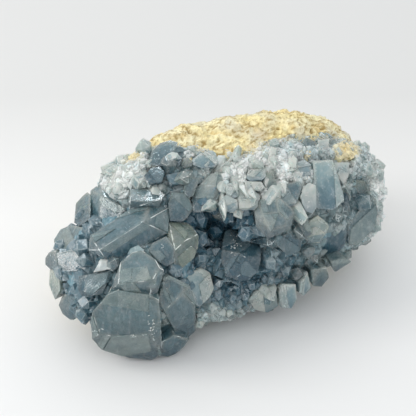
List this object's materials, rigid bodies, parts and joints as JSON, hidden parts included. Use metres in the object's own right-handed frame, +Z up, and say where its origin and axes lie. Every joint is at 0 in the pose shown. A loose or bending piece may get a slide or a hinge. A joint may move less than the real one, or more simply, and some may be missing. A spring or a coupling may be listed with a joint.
{
  "type": "celestite cluster",
  "caption": "Hand-sized lump of tan matrix rock whose broken front is a fused crust of grey-blue blocky celestite crystals around a dark hollow.",
  "frame": {"origin": "on the ground plane, under the middle of the specimen's bounding box, where the matrix rests on its flat foot", "axes": "+X along the specimen's length towards its right end, +Y towards its back where the rind is, +Z up"},
  "size_m": [0.1219, 0.0691, 0.0578],
  "materials": {
    "celestite": "satin",
    "rind": "matte"
  },
  "bodies": {
    "root": {"celestite_crystals": "celestite", "matrix": "rind"}
  },
  "joints": []
}
